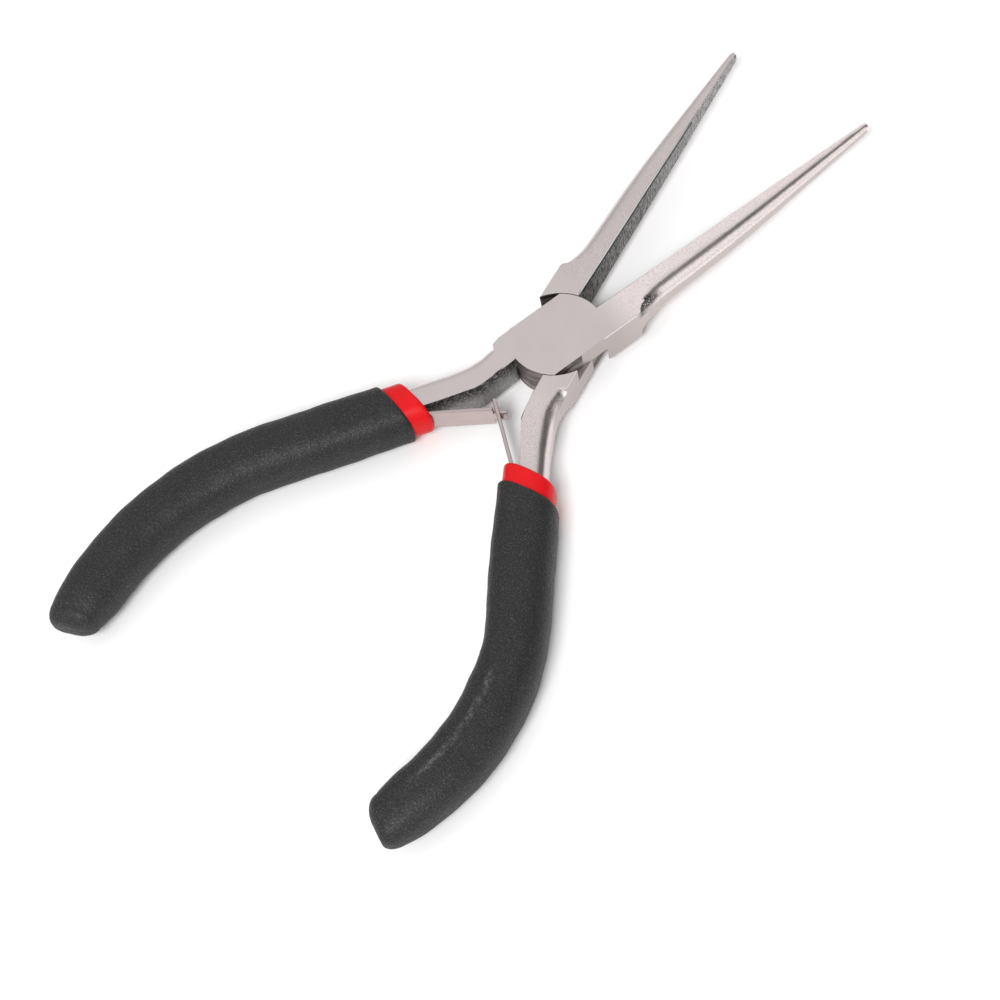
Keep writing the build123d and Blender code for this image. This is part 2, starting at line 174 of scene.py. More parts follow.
def smooth(mesh):
    """Smooth shading on every face."""
    mesh.polygons.foreach_set("use_smooth", [True] * len(mesh.polygons))


def interpolated(stations, at):
    """Values between stations on a smooth curve; held at both ends."""
    if at <= stations[0][0]:
        return stations[0][1:]
    for i in range(len(stations) - 1):
        near, far = stations[i], stations[i + 1]
        if at <= far[0]:
            before = stations[max(i - 1, 0)]
            after = stations[min(i + 2, len(stations) - 1)]
            t = (at - near[0]) / (far[0] - near[0])
            values = []
            for b, n, f, a in zip(before[1:], near[1:], far[1:], after[1:]):
                slope_near = (f - b) / (far[0] - before[0]) * (far[0] - near[0])
                slope_far = (a - n) / (after[0] - near[0]) * (far[0] - near[0])
                h00, h10 = 2 * t**3 - 3 * t**2 + 1, t**3 - 2 * t**2 + t
                h01, h11 = -2 * t**3 + 3 * t**2, t**3 - t**2
                values.append(h00 * n + h10 * slope_near + h01 * f + h11 * slope_far)
            return tuple(values)
    return stations[-1][1:]


class HandleCurve:
    """Centreline of one handle in the lever's closed frame."""

    def __init__(self, side):
        shape = HANDLES[side]
        self.side = side
        self.end = shape["end"]
        self.straight = shape["straight"]
        self.radius = shape["radius"]
        self.leaf = shape["leaf"]
        self.tang = shape["tang"]
        heading = radians(shape["heading"])
        self.start = Vector((shape["start"], HANDLE_START_Y, 0))
        self.along = Vector((-sin(heading), -cos(heading), 0))
        self.inward = UP.cross(self.along)

    def at(self, distance):
        """Point, direction along the handle and direction towards the other handle."""
        if distance <= self.straight:
            return self.start + self.along * distance, self.along, self.inward
        angle = (distance - self.straight) / self.radius
        corner = self.start + self.along * self.straight
        out = self.along * (self.radius * sin(angle))
        point = corner + out + self.inward * (self.radius * (1 - cos(angle)))
        along = self.along * cos(angle) + self.inward * sin(angle)
        return point, along, UP.cross(along)

    def surface(self, distance, across, height):
        """Point beside the centreline: across is towards the other handle."""
        point, _, inward = self.at(distance)
        return point + inward * across + UP * height


def outline(angle, half_width, half_thickness, power):
    """Point at a direction on a rounded section."""
    c, s = cos(angle), sin(angle)
    reach = (abs(c / half_width) ** power + abs(s / half_thickness) ** power) ** (-1 / power)
    return reach * c, reach * s


def mouth_distance(curve, mouth_y, angle, section):
    """Distance along the handle at which a line on the surface meets the plane of the mouth."""
    low, high = MOUTH_SEARCH
    for _ in range(MOUTH_HALVINGS):
        middle = (low + high) / 2
        across, height = section(middle, angle)
        if curve.surface(middle, across, height).y > mouth_y:
            low = middle
        else:
            high = middle
    return (low + high) / 2


def mouth_line(curve, mouth_y, section):
    """Distances along the handle at which the surface meets the plane of the mouth, all the way round."""
    return [mouth_distance(curve, mouth_y, angle, section) for angle in ROUND]


def shell(name, curve, rings):
    """Closed surface from rings of points in the lever's closed frame; the first and last ring are filled."""
    mesh = bpy.data.meshes.new(name)
    count = len(rings[0])
    points = [placed(curve.side, *p) for ring in rings for p in ring]
    faces = []
    for r in range(len(rings) - 1):
        for i in range(count):
            j = (i + 1) % count
            faces.append((r * count + i, r * count + j, (r + 1) * count + j, (r + 1) * count + i))
    faces.append(tuple(range(count)))
    last = (len(rings) - 1) * count
    faces.append(tuple(last + i for i in reversed(range(count))))
    mesh.from_pydata(points, [], faces)
    bm = bmesh.new()
    bm.from_mesh(mesh)
    bmesh.ops.recalc_face_normals(bm, faces=bm.faces)
    bm.to_mesh(mesh)
    bm.free()
    smooth(mesh)
    return new_object(name, mesh)


# ======== Soft grips ========
def sleeve_section(curve):
    """Section of the red sleeve at a distance and angle."""
    stations = COLLAR_STATIONS + [(curve.end - SLEEVE_END_BACK, *SLEEVE_END)]

    def section(distance, angle):
        width, thickness = interpolated(stations, distance)
        return outline(angle, width / 2, thickness / 2, OUTLINE_POWER)

    return section


def ridge_swell(side, distance, angle, thickness):
    """How much the soft ridge makes the section bigger at a distance and angle."""
    middle, first, last, rise = RIDGE[side]
    off = (angle - radians(middle) + pi) % (2 * pi) - pi
    window = max(0.0, 1 - ((2 * distance - first - last) / (last - first)) ** 2)
    return 1 + rise * window * exp(-((off / RIDGE_SPREAD) ** 2)) / (thickness / 2)


def grip_section(curve):
    """Section of the black grip at a distance and angle, with the pinch and ridge of a dipped grip."""
    ends = [(curve.end - back, w, t, shift) for back, w, t, shift in GRIP_END_STATIONS]
    stations = [(d, w, t, 0.0) for d, w, t in GRIP_STATIONS] + ends
    pinch_middle = curve.straight + PINCH_BEYOND

    def section(distance, angle):
        width, thickness, shift = interpolated(stations, distance)
        across, height = outline(angle, width / 2, thickness / 2, OUTLINE_POWER)
        inner = max(0.0, cos(angle)) ** 3
        near_bend = max(0.0, 1 - ((distance - pinch_middle) / PINCH_REACH) ** 2)
        across -= PINCH[curve.side] * inner * near_bend
        wave = sum(size * sin(distance * rate + turns * angle) for size, rate, turns in WAVES)
        grown = ridge_swell(curve.side, distance, angle, thickness) * (1 + wave)
        return across * grown - shift, height * grown

    return section


def mouth_ring(curve, section, line, back, shrink):
    """Ring parallel to the mouth, a distance back from it and made smaller all round."""
    ring = []
    for angle, mouth in zip(ROUND, line):
        across, height = section(mouth + back, angle)
        size = hypot(across, height)
        scale = (size - shrink) / size
        ring.append(curve.surface(mouth + back, across * scale, height * scale))
    return ring


def body_ring(curve, section, line, share, start_back, end):
    """Ring at a share of the way from the mouth to the end of the grip."""
    ring = []
    for angle, mouth in zip(ROUND, line):
        first = mouth + start_back
        distance = first + (end - first) * share
        across, height = section(distance, angle)
        ring.append(curve.surface(distance, across, height))
    return ring


def rounded_lip(radius, steps):
    """Pairs of distance back from the mouth and shrink that make a quarter-round lip, from its face."""
    turns = [(pi / 2) * i / steps for i in range(steps, -1, -1)]
    return [(radius * (1 - sin(turn)), radius * (1 - cos(turn))) for turn in turns]


def end_ring(curve, section, distance, falloff):
    """Ring of the rounded end, where the section draws in by END_ROUND as falloff goes to 0."""
    ring = []
    shift = GRIP_END_STATIONS[-1][3] * (1 - falloff)
    for angle in ROUND:
        across, height = section(curve.end - END_ROUND, angle)
        size = hypot(across, height)
        scale = (size - END_ROUND * (1 - falloff)) / size
        ring.append(curve.surface(distance, across * scale - shift, height * scale))
    return ring


def outer_grip(side):
    """Black grip: a hollow shell with a rounded lip and a wedge-shaped end."""
    curve = HandleCurve(side)
    section = grip_section(curve)
    sleeve = sleeve_section(curve)
    hollow_line = mouth_line(curve, GRIP_MOUTH_Y, sleeve)
    outer_line = mouth_line(curve, GRIP_MOUTH_Y, section)
    rings = [mouth_ring(curve, sleeve, hollow_line, back, -LAYER_GAP) for back in GRIP_HOLLOW]
    for back, shrink in rounded_lip(GRIP_LIP, GRIP_LIP_STEPS):
        rings.append(mouth_ring(curve, section, outer_line, back, shrink))
    full = curve.end - END_ROUND
    for i in range(1, GRIP_ROWS + 1):
        rings.append(body_ring(curve, section, outer_line, i / GRIP_ROWS, GRIP_LIP, full))
    for i in range(1, END_ROWS + 1):
        turn = (pi / 2) * i / (END_ROWS + 0.5)
        rings.append(end_ring(curve, section, full + END_ROUND * sin(turn), cos(turn)))
    made = shell(f"{side}_grip_soft", curve, rings)
    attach(made, side)
    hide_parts(f"{side}_outer_grip")
    return made


def opening_section(curve):
    """Hole in the collar's face: the tang's section with the leaf spring's slot beside it."""
    centre, _, inward = curve.at((COLLAR_MOUTH_Y - curve.start.y) / curve.along.y)
    leaf_place = Vector((curve.leaf, COLLAR_MOUTH_Y, 0))
    far = (leaf_place - centre).dot(inward) + LEAF_THICKNESS / 2 + SLOT_GAP[0]
    half_slot = LEAF_WIDTH / 2 + SLOT_GAP[1]
    half_height = TANG_THICKNESS / 2 + OPENING_GAP

    def section(_, angle):
        c, s = cos(angle), sin(angle)
        half_width = abs(curve.tang[c > 0]) + OPENING_GAP
        across, height = outline(angle, half_width, half_height, OPENING_POWER)
        if across < far and 0 < c and abs(s / c) * far < half_slot:
            return far, far * s / c
        return across, height

    return section


def collar(side):
    """Red sleeve: soft rounded mouth, with the hole for the tang and the leaf spring."""
    curve = HandleCurve(side)
    section = sleeve_section(curve)
    opening = opening_section(curve)
    opening_line = mouth_line(curve, COLLAR_MOUTH_Y, opening)
    outer_line = mouth_line(curve, COLLAR_MOUTH_Y, section)
    rings = [mouth_ring(curve, opening, opening_line, back, 0.0) for back in OPENING_DEPTHS]
    for back, shrink in rounded_lip(COLLAR_LIP, COLLAR_LIP_STEPS):
        rings.append(mouth_ring(curve, section, outer_line, back, shrink))
    end = curve.end - SLEEVE_END_BACK
    for i in range(1, SLEEVE_ROWS + 1):
        rings.append(body_ring(curve, section, outer_line, i / SLEEVE_ROWS, COLLAR_LIP, end))
    made = shell(f"{side}_sleeve_soft", curve, rings)
    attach(made, side)
    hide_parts(f"{side}_inner_sleeve")
    return made


# ======== Leaf springs ========
class LeafPath:
    """Centreline of a leaf spring from its clamped end, in the lever's closed frame."""

    def __init__(self, side):
        curve = HandleCurve(side)
        sign = 1 if side == "front" else -1
        angle = radians(HALF_OPENING)
        x, y = sign * LEAF_CROSSING[0], LEAF_CROSSING[1]
        self.crossing = Vector((x * cos(angle) - y * sin(angle), x * sin(angle) + y * cos(angle), 0))
        self.mouth = Vector((curve.leaf, COLLAR_MOUTH_Y, 0))
        self.free = (self.crossing - self.mouth).normalized()
        pad = curve.start + curve.inward * (BAR_WIDTH / 2 + LEAF_THICKNESS / 2)
        back = (pad - self.mouth).dot(curve.inward) / self.free.dot(curve.inward)
        self.corner = self.mouth + self.free * back
        self.root = self.corner + curve.along * LEAF_PAD
        self.first = (self.corner - self.root).normalized()
        turn = self.first.angle(self.free)
        self.cut = LEAF_BEND_RADIUS * tan(turn / 2)
        self.sense = 1 if self.first.cross(self.free).z > 0 else -1
        self.flat = LEAF_PAD - self.cut
        self.arc = LEAF_BEND_RADIUS * turn
        tail = (self.crossing - self.corner).length - self.cut
        self.to_crossing = self.flat + self.arc + tail

    def at(self, s):
        """Point and sideways normal at a distance along the strip."""
        if s <= self.flat:
            point, direction = self.root + self.first * s, self.first
        elif s <= self.flat + self.arc:
            angle = (s - self.flat) / LEAF_BEND_RADIUS
            side = UP.cross(self.first) * self.sense
            start = self.root + self.first * self.flat
            point = start + self.first * (LEAF_BEND_RADIUS * sin(angle))
            point += side * (LEAF_BEND_RADIUS * (1 - cos(angle)))
            direction = self.first * cos(angle) + side * sin(angle)
        else:
            beyond = s - self.flat - self.arc
            point = self.corner + self.free * (self.cut + beyond)
            direction = self.free
        return point, UP.cross(direction)


def leaf_blank(name, rows, heights, keep):
    """Flat strip in the plane of distance and height, thickened, with softened edges."""
    mesh = bpy.data.meshes.new(name + "_blank")
    points = [(s * MM, 0, z * MM) for s in rows for z in heights]
    across = len(heights)
    faces = []
    for r in range(len(rows) - 1):
        for c in range(across - 1):
            middle = ((rows[r] + rows[r + 1]) / 2, (heights[c] + heights[c + 1]) / 2)
            if keep(*middle):
                first = r * across + c
                faces.append((first, first + 1, first + across + 1, first + across))
    mesh.from_pydata(points, [], faces)
    bm = bmesh.new()
    bm.from_mesh(mesh)
    loose = [v for v in bm.verts if not v.link_faces]
    bmesh.ops.delete(bm, geom=loose, context="VERTS")
    bm.to_mesh(mesh)
    bm.free()
    blank = new_object(name + "_blank", mesh)
    thick = blank.modifiers.new("thick", "SOLIDIFY")
    thick.thickness = LEAF_THICKNESS * MM
    thick.offset = 0
    soften = blank.modifiers.new("soften", "BEVEL")
    soften.width = LEAF_EDGE_BREAK * MM
    soften.segments = 2
    soften.limit_method = "ANGLE"
    depsgraph = bpy.context.evaluated_depsgraph_get()
    made = bpy.data.meshes.new_from_object(blank.evaluated_get(depsgraph))
    bpy.data.objects.remove(blank)
    return made


def spread(first, last, step):
    """Evenly spaced values from first to last."""
    count = max(1, round((last - first) / step))
    return [first + (last - first) * i / count for i in range(count + 1)]


def leaf_curl(side, beyond):
    """How far the strip's tip is turned up: only the tongue of the front strip is."""
    first, rate = TONGUE_CURL
    if side == "rear" or beyond < first:
        return 0.0
    return rate * (beyond - first) ** 2


def smooth_by_angle(mesh, degrees):
    """Smooth shading apart from edges sharper than an angle."""
    smooth(mesh)
    bm = bmesh.new()
    bm.from_mesh(mesh)
    for edge in bm.edges:
        edge.smooth = len(edge.link_faces) == 2 and edge.calc_face_angle() < radians(degrees)
    bmesh.ops.recalc_face_normals(bm, faces=bm.faces)
    bm.to_mesh(mesh)
    bm.free()


def leaf(side):
    """Leaf spring: a flat strip bent along its path."""
    path = LeafPath(side)
    cross = path.to_crossing
    half = LEAF_WIDTH / 2
    if side == "front":
        shoulder, end = cross - SHOULDER_BACK, cross + TONGUE_LENGTH
        rows = spread(0, shoulder, LEAF_STEP) + spread(shoulder, end, CROSSING_STEP)[1:]
        inner = TONGUE_WIDTH / 2

        def keep(s, z):
            return s < shoulder or abs(z) < inner
    else:
        first, last = cross + SLOT_SPAN[0], cross + SLOT_SPAN[1]
        rows = spread(0, first, LEAF_STEP) + spread(first, last, CROSSING_STEP)[1:]
        rows.append(cross + REAR_LEAF_BEYOND)
        inner = SLOT_WIDTH / 2

        def keep(s, z):
            return not (first < s < last and abs(z) < inner)
    upper = [inner / 2, inner, (half + inner) / 2, half]
    heights = [-z for z in reversed(upper)] + [0] + upper
    mesh = leaf_blank(f"{side}_leaf", rows, heights, keep)
    for v in mesh.vertices:
        s, t, z = v.co / MM
        point, normal = path.at(s)
        v.co = placed(side, *(point + normal * (t + leaf_curl(side, s - cross)) + UP * z))
    made = new_object(f"{side}_leaf_strip", mesh)
    smooth_by_angle(mesh, LEAF_SHARP)
    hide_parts(f"{side}_leaf_spring")
    hinge = path.mouth - path.free * HINGE_BACK
    end = placed(side, *(hinge + path.free * BEND_SPAN[1]))
    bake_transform(made)
    return made


# ======== Materials ========
# A pair of colours is the two ends of a mix; a pair of numbers is where a mask is 0 and where it is 1.
# Places on a lever are in its closed frame, in mm.

# ---- Lever: masks ----
JAW_START = (8.4, 9.2)
TANG_START = (-9.8, -11.0)
JOINT_START = (-9.5, -9.0)
JOINT_END = (11.6, 11.1)
TANG_FACE_START = (-3.0, -9.0)      # the inner face changes over under the joint
CENTRE_START = (-0.5, 0.5)          # where the inner side changes over from one side to the other
INNER_FACE = (0.80, 0.93)           # part of the normal towards the other lever
OUTWARD_FACE = (-0.90, -0.97)
SHEER_INNER_FACE = (0.90, 0.96)
TURNED_INWARD = (0.02, 0.15)
TURNED_OUTWARD = (-0.02, -0.15)
UPRIGHT = (0.75, 0.55)              # upright part of the normal
FLAT = (0.93, 0.995)
SLANTED = ((0.12, 0.30), (0.985, 0.93))
RECESS_RADIUS = (7.8, 8.1)          # solid to and gone by
# Where the rounded edges leave the square shoulder and neck: X, Y, solid to and gone by
RUN_OUTS = {
    "front": [(5.0, 14.0, 1.5, 2.7), (5.0, 16.0, 0.4, 2.2)],
    "rear": [(-4.9, -10.3, 0.8, 2.6), (-5.2, -13.0, 0.2, 2.4)],
}
RUN_OUT_HEIGHT = (1.0, 2.0)         # from the lever's middle plane
RUN_OUT_STRENGTH = {"front": 0.95, "rear": 0.6}
# Stretches along the lever with a painted highlight, lighter as if lit more, and a sandy grain: from, to and
# how strong the highlight is
HIGHLIGHT_AND_SAND_STRETCHES = {
    "front": [(9.5, 70.0, 0.85)],
    "rear": [(-24.0, -10.0, 0.30), (9.0, 70.0, 0.05)],
}
# Two straight stretches of the jaw's upper inner edge: Y, height there and fall in mm per mm
JAW_EDGE = [(12.0, 2.88, 0.0258), (31.0, 2.44, 0.0434)]
PAINTED_SHADE_LINE_WIDTH = (1.25, 0.85)      # painted shade line below that edge, made ragged by the noise amount on the next line
PAINTED_SHADE_LINE_RAGGED = 0.6
JAW_FACE_SHADE_GRADE = (12.0, 62.0)       # painted shade: darker at the root, lighter towards the tip
TANG_FACE_SHADE_GRADE = (2.5, -1.2)       # painted shade: darker at the upper edge, lighter towards the lower edge

# ---- Lever: noises, in features per metre ----
LEVER_NOISES = {
    "cloud": dict(scale=160, detail=4, rough=0.6),
    "fine": dict(scale=2600, detail=3, rough=0.6),
    "hatch": dict(scale=3600, detail=4, rough=0.7, stretch=(1, 1, 0.22), turn=(radians(35), 0, 0)),
    "scale": dict(scale=2200, detail=5, rough=0.75),
    "speckle": dict(scale=4200, detail=3, rough=0.7),
    "sand": dict(scale=5200, detail=2, rough=0.6),
    "ragged": dict(scale=900, detail=3, rough=0.7),
    "streaks": dict(scale=1400, detail=3, rough=0.6, stretch=(0.15, 0.15, 1)),
}
BRUSHED = dict(scale=900, detail=3, rough=0.6, stretch=(1, 0.06, 1))


def colour(r, g, b):
    """Linear colour with full opacity."""
    return (r, g, b, 1.0)


# ---- Colours ----
NICKEL = (colour(0.60, 0.535, 0.525), colour(0.70, 0.635, 0.63))
NICKEL_FINE = colour(0.52, 0.47, 0.47)
# painted highlight for the stretches along the lever
NICKEL_PAINTED_HIGHLIGHT = colour(0.97, 0.87, 0.86)
NICKEL_SAND = colour(0.38, 0.34, 0.34)
# painted shade for the lever's faces that look outwards
NICKEL_PAINTED_SHADE = colour(0.36, 0.32, 0.31)
# Each pair runs from the painted shade at the jaw's root or the tang's upper edge to the lighter other end
JAW_FACE_DARK = (colour(0.045, 0.043, 0.043), colour(0.20, 0.195, 0.195))
JAW_FACE_PALE = (colour(0.27, 0.265, 0.26), colour(0.46, 0.45, 0.45))
JAW_FACE_FLAKES = colour(0.66, 0.65, 0.65)
TANG_FACE_DARK = (colour(0.045, 0.043, 0.043), colour(0.30, 0.29, 0.29))
TANG_FACE_FLAKES = colour(0.46, 0.45, 0.45)
# turned streaks on the recess walls near the pivot, darkened with painted shade
TURNED_WALL_AND_SHADE = (colour(0.10, 0.092, 0.088), colour(0.34, 0.30, 0.29))
RUN_OUT = (colour(0.045, 0.04, 0.04), colour(0.66, 0.60, 0.60))
# painted shade lines beside the inner faces' upper edges
PAINTED_SHADE_LINE = colour(0.015, 0.014, 0.014)
# painted highlight on the slanted edges
PAINTED_EDGE_HIGHLIGHT = colour(1.0, 0.98, 0.97)
STRIP = (colour(0.50, 0.42, 0.41), colour(0.62, 0.53, 0.52))
STRIP_LINES = colour(0.34, 0.29, 0.29)
# painted shade on the strip's bevelled corners
STRIP_CORNER_SHADE = colour(0.03, 0.026, 0.026)
RIVET = (colour(0.48, 0.45, 0.44), colour(0.62, 0.58, 0.57))
RED = (colour(0.58, 0.006, 0.009), colour(0.70, 0.009, 0.012))
BLACK = (colour(0.007, 0.007, 0.0075), colour(0.015, 0.015, 0.0155))
BLACK_SPECKS = colour(0.095, 0.095, 0.096)
# painted highlight along the rear grip's crease
BLACK_CREASE_HIGHLIGHT = colour(0.15, 0.155, 0.16)
FLOOR = (colour(0.95, 0.95, 0.95), colour(0.97, 0.97, 0.97))

# ---- Spring and grip ----
CORNER_SHADE = {"front": 0.4, "rear": 0.95}     # painted shade on the strip's bevelled corners: how dark, for each side
STRIP_CORNERS = ((0.98, 0.90), (0.15, 0.35))
# Painted highlight along the crease at the top of a grip's bend: centre and radius of its arc, and its Y
# range
CREASE = {"rear": dict(centre=(15.245, -61.19), radius=35.5, first=-53.5, last=-77.0)}
CREASE_HALF_WIDTH = 0.85
CREASE_HEIGHT = (2.0, 3.5)
CREASE_FADES = (3.0, 6.0)


class Tree:
    """Short names for building a material's nodes."""

    def __init__(self, name):
        self.material = bpy.data.materials.new(name)
        self.material.use_nodes = True
        self.tree = self.material.node_tree
        self.tree.nodes.clear()
        self.shader = self.add("ShaderNodeBsdfPrincipled")
        output = self.add("ShaderNodeOutputMaterial")
        self.tree.links.new(self.shader.outputs[0], output.inputs[0])
        self.coords = self.add("ShaderNodeTexCoord")

    def connect(self, socket, value):
        """Give an input a value or another node's output."""
        if isinstance(value, bpy.types.NodeSocket):
            self.tree.links.new(value, socket)
        else:
            socket.default_value = value

    def add(self, kind, inputs=None, **settings):
        """A node with its settings and inputs."""
        node = self.tree.nodes.new(kind)
        for key, value in settings.items():
            setattr(node, key, value)
        for key, value in (inputs or {}).items():
            self.connect(node.inputs[key], value)
        return node

    def math(self, operation, a, b=0.0):
        """Output of a Math node."""
        return self.add("ShaderNodeMath", {0: a, 1: b}, operation=operation).outputs[0]

    def plus(self, a, b):
        """Sum."""
        return self.math("ADD", a, b)

    def minus(self, a, b):
        """Difference."""
        return self.math("SUBTRACT", a, b)

    def times(self, first, *others):
        """Product of two or more values."""
        for other in others:
            first = self.math("MULTIPLY", first, other)
        return first

    def ramp(self, value, low, high):
        """Smooth step from 0 at low to 1 at high."""
        made = self.add(
            "ShaderNodeMapRange", {0: value, 1: low, 2: high}, interpolation_type="SMOOTHSTEP"
        )
        return made.outputs[0]

    def between(self, value, low, high):
        """Value from 0..1 carried to low..high."""
        return self.add("ShaderNodeMapRange", {0: value, 3: low, 4: high}).outputs[0]

    def mix_colour(self, factor, a, b):
        """Colour from a at factor 0 to b at factor 1."""
        return self.add("ShaderNodeMix", {0: factor, 6: a, 7: b}, data_type="RGBA").outputs[2]

    def mix(self, factor, a, b):
        """Number from a at factor 0 to b at factor 1."""
        return self.add("ShaderNodeMix", {0: factor, 2: a, 3: b}, data_type="FLOAT").outputs[0]

    def noise(self, scale, detail, rough, stretch=(1, 1, 1), turn=(0, 0, 0)):
        """Noise in the piece's own coordinates; scale is in features per metre."""
        place = {"Vector": self.coords.outputs["Object"], "Scale": stretch, "Rotation": turn}
        mapping = self.add("ShaderNodeMapping", place)
        inputs = {"Vector": mapping.outputs[0], "Scale": scale, "Detail": detail, "Roughness": rough}
        return self.add("ShaderNodeTexNoise", inputs).outputs[0]

    def bump(self, height, strength, distance, normal=None):
        """Normal from a height; distance is in mm."""
        inputs = {"Height": height, "Strength": strength, "Distance": distance * MM}
        if normal is not None:
            inputs["Normal"] = normal
        return self.add("ShaderNodeBump", inputs).outputs[0]

    def finish(self, **inputs):
        """Set the shader's inputs."""
        for key, value in inputs.items():
            self.connect(self.shader.inputs[key.replace("_", " ")], value)
        return self.material


class LeverTree(Tree):
    """Material tree with the lever's closed frame: jaw towards +Y, pivot on Z, lengths in mm."""

    def __init__(self, name, side):
        super().__init__(name)
        self.side = side
        sign = 1 if side == "front" else -1
        angle = radians(HALF_OPENING)
        across = (sign * cos(angle), -sin(angle), 0)
        along = (sign * sin(angle), cos(angle), 0)
        self.x = self.part("Object", across, 1 / MM)
        self.y = self.part("Object", along, 1 / MM)
        self.normal_x = self.part("Normal", across, 1)
        split = self.add("ShaderNodeSeparateXYZ", {0: self.coords.outputs["Normal"]})
        self.flatness = self.math("ABSOLUTE", split.outputs["Z"])
        place = self.add("ShaderNodeSeparateXYZ", {0: self.coords.outputs["Object"]})
        self.side_height = self.minus(self.times(place.outputs["Z"], 1 / MM), MID_HEIGHT)
        self.height = self.math("ABSOLUTE", self.side_height)

    def part(self, output, direction, factor):
        """Component of a coordinate along a direction."""
        vectors = {0: self.coords.outputs[output], 1: direction}
        dot = self.add("ShaderNodeVectorMath", vectors, operation="DOT_PRODUCT")
        return self.times(dot.outputs["Value"], factor)

    def distance(self, x, y):
        """Distance from a line parallel to the pivot through a point of the closed frame, in mm."""
        dx = self.minus(self.x, x)
        dy = self.minus(self.y, y)
        return self.math("SQRT", self.plus(self.times(dx, dx), self.times(dy, dy)))

    def near(self, x, y, low, high):
        """Mask that is 1 within low of a point of the closed frame and 0 beyond high, in mm."""
        return self.ramp(self.distance(x, y), high, low)


class LeverSteel(LeverTree):
    """Satin nickel on the ground faces, bare dark steel on the inner faces, rough run-outs, with painted
    shade and painted highlights on some faces and edges.
    """

    def __init__(self, side):
        super().__init__(f"{side}_lever_steel", side)
        self.noises = {name: self.noise(**settings) for name, settings in LEVER_NOISES.items()}
        ahead = self.ramp(self.y, *CENTRE_START)
        self.towards = self.times(self.normal_x, self.between(ahead, 1.0, -1.0))
        self.inner = self.ramp(self.towards, *INNER_FACE)
        self.outward = self.ramp(self.towards, *OUTWARD_FACE)
        self.flat = self.ramp(self.flatness, *FLAT)
        near_pivot = self.near(0, 0, *RECESS_RADIUS)
        upright = self.ramp(self.flatness, *UPRIGHT)
        self.recess = self.times(near_pivot, upright, self.minus(1.0, self.outward))
        self.scoop = self.run_outs()

    def run_outs(self):
        """Mask of the rough spots where the rounded edges end."""
        first, second = [self.near(*place) for place in RUN_OUTS[self.side]]
        scoop = self.math("MAXIMUM", first, second)
        edges = self.ramp(self.height, *RUN_OUT_HEIGHT)
        return self.times(scoop, edges, self.minus(1.0, self.flat))

    def ground_faces(self):
        """Nickel with a painted highlight and sand grain along some stretches, and painted shade on the faces
        that look outwards.
        """
        base = self.mix_colour(self.noises["cloud"], *NICKEL)
        base = self.mix_colour(self.between(self.noises["fine"], 0.0, 0.3), base, NICKEL_FINE)
        # painted highlight along each stretch, with sand grain in it
        for first, last, strength in HIGHLIGHT_AND_SAND_STRETCHES[self.side]:
            starts = self.ramp(self.y, first - 3, first + 4)
            span = self.times(starts, self.ramp(self.y, last + 3, last - 3))
            base = self.mix_colour(self.times(span, strength), base, NICKEL_PAINTED_HIGHLIGHT)
            sand = self.times(span, self.ramp(self.noises["sand"], 0.42, 0.68))
            base = self.mix_colour(self.times(sand, 0.42), base, NICKEL_SAND)
        # painted shade: the faces that look outwards are darkened
        return self.mix_colour(self.times(self.outward, 0.65), base, NICKEL_PAINTED_SHADE)

    def inner_faces(self):
        """Bare steel with scale: hatched on the jaw, with painted shade darker at its root; on the tang
        graded by height, with painted shade darker at its upper edge.
        """
        # painted shade: the jaw's inner face is darker at its root
        to_tip = self.ramp(self.y, *JAW_FACE_SHADE_GRADE)
        dark = self.mix_colour(to_tip, *JAW_FACE_DARK)
        pale = self.mix_colour(to_tip, *JAW_FACE_PALE)
        jaw = self.mix_colour(self.ramp(self.noises["hatch"], 0.40, 0.60), dark, pale)
        jaw = self.mix_colour(self.ramp(self.noises["scale"], 0.58, 0.70), jaw, JAW_FACE_FLAKES)
        # painted shade: the tang's inner face is darker at its upper edge
        downward = self.ramp(self.side_height, *TANG_FACE_SHADE_GRADE)
        tang = self.mix_colour(downward, *TANG_FACE_DARK)
        tang = self.mix_colour(self.ramp(self.noises["scale"], 0.46, 0.68), tang, TANG_FACE_FLAKES)
        return self.mix_colour(self.ramp(self.y, *TANG_FACE_START), jaw, tang)

    def painted_shade_line(self):
        """Mask of the ragged painted shade line along the upper edge of the jaw's inner face."""
        lines = []
        for y, height, fall in JAW_EDGE:
            lines.append(self.minus(height + y * fall, self.times(self.y, fall)))
        below = self.minus(self.math("MINIMUM", *lines), self.side_height)
        ragged = self.times(self.noises["ragged"], PAINTED_SHADE_LINE_RAGGED)
        line = self.ramp(self.plus(below, ragged), *PAINTED_SHADE_LINE_WIDTH)
        return self.times(line, self.ramp(self.towards, *SHEER_INNER_FACE))

    def with_edges(self, base):
        """Colour with painted shade lines beside the inner faces and painted highlights on the edges."""
        jaw = self.ramp(self.y, *JAW_START)
        tang = self.ramp(self.y, *TANG_START)
        joint = self.times(self.ramp(self.y, *JOINT_START), self.ramp(self.y, *JOINT_END))
        above_side, below_top = SLANTED
        slant = self.times(self.ramp(self.flatness, *above_side), self.ramp(self.flatness, *below_top))
        inner_corner = self.times(slant, self.ramp(self.towards, *TURNED_INWARD))
        outer_corner = self.times(slant, self.ramp(self.towards, *TURNED_OUTWARD))
        # painted shade lines beside the inner faces
        dark = self.plus(self.times(self.painted_shade_line(), jaw), self.times(inner_corner, tang))
        # painted highlights on the slanted edges of the jaw and the joint
        edge_highlight = self.plus(self.times(inner_corner, jaw), self.times(outer_corner, joint))
        base = self.mix_colour(self.times(dark, 0.92), base, PAINTED_SHADE_LINE)
        return self.mix_colour(self.times(edge_highlight, 0.95), base, PAINTED_EDGE_HIGHLIGHT)

